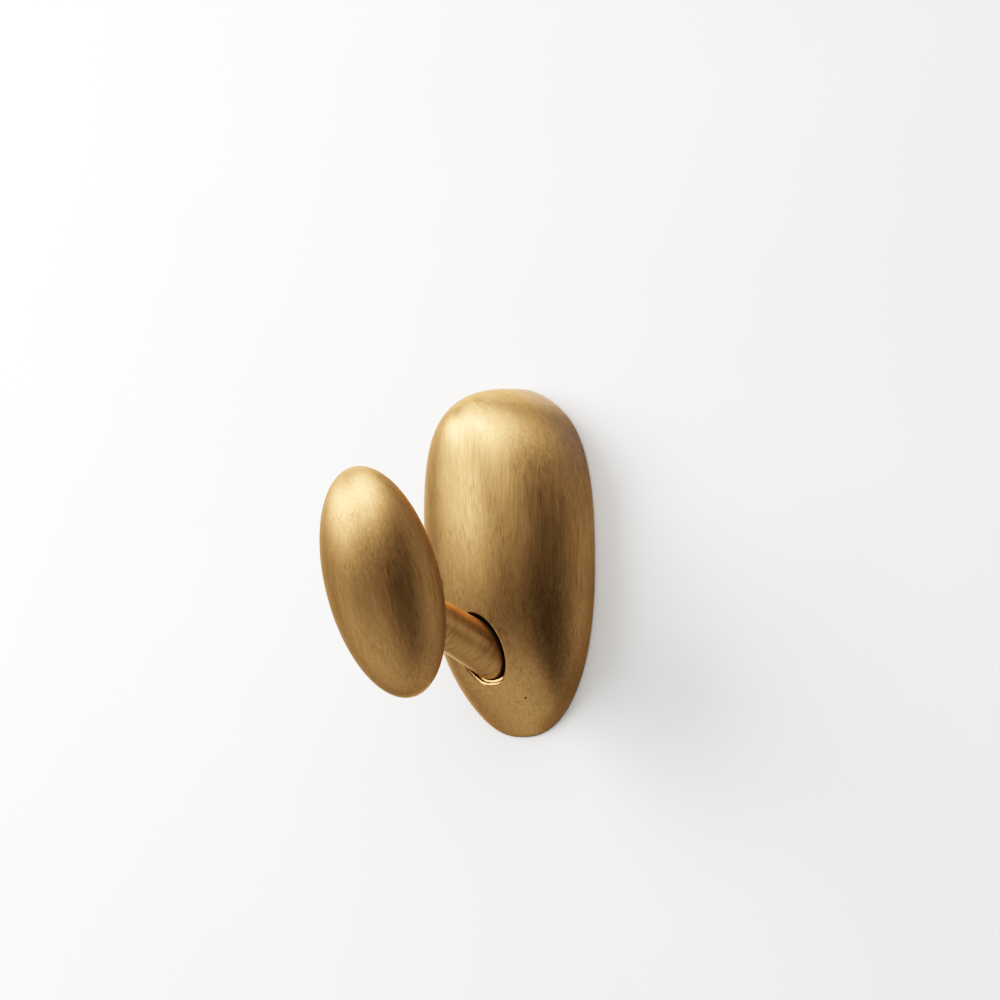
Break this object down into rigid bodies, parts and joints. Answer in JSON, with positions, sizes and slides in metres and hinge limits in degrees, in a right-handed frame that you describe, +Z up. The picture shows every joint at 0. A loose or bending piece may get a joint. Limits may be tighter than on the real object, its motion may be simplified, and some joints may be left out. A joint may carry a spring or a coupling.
{
  "type": "wall hook",
  "caption": "Wall hook with a deep pebble-shaped backplate, a slanting tapered post and an egg-shaped head that leans outwards at the top, in brushed antique brass.",
  "frame": {"origin": "on the wall plane, at mid height of the backplate and on its centre line", "axes": "+Z up, +Y into the wall, the hook stands out towards -Y, X along the wall"},
  "size_m": [0.0356, 0.0615, 0.0702],
  "materials": {
    "brass": "brushed, antique patina",
    "steel": "zinc plated"
  },
  "bodies": {
    "root": {"backplate": "brass", "post": "brass", "head": "brass", "post_screw": "steel", "lock_washer": "steel", "wall_bracket": "steel"}
  },
  "joints": []
}
